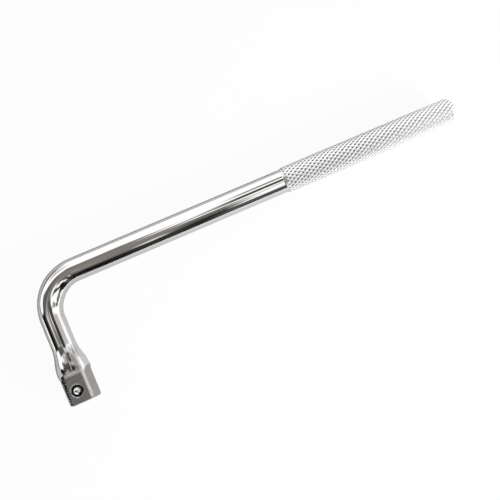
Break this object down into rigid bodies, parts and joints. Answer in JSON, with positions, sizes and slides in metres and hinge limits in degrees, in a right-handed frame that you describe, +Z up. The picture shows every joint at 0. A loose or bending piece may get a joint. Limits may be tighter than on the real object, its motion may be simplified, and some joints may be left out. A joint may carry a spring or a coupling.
{
  "type": "l-handle socket wrench",
  "caption": "L-shaped socket handle: round chromed bar with a knurled grip, bent at a right angle, ending in a half-inch drive square with a sprung detent ball.",
  "frame": {"origin": "centre of the drive square's end face, on the drive axis", "axes": "+Y runs from the drive end up the drive axis to the bend, +X runs along the long arm from the bend to its tip, +Z is up with the tool lying flat, on the side from which the detent ball looks"},
  "size_m": [0.2341, 0.0671, 0.0162],
  "materials": {
    "chrome_plate": "polished chrome plate, satin on the flats of the drive square, bright on the knurl",
    "ball_steel": "polished bearing ball",
    "spring_steel": "drawn wire, plain"
  },
  "bodies": {
    "bar": {"handle_bar": "chrome_plate", "detent_spring": "spring_steel"},
    "ball": {"detent_ball": "ball_steel"}
  },
  "joints": [
    {"name": "ball_press", "type": "slide", "parent": "bar", "child": "ball", "axis": [0.1392, 0, -0.9903], "range_m": [0, 0.001], "stiffness_N_per_m": 6000, "springref_m": -0.0008, "deforming": ["detent_spring"]}
  ]
}
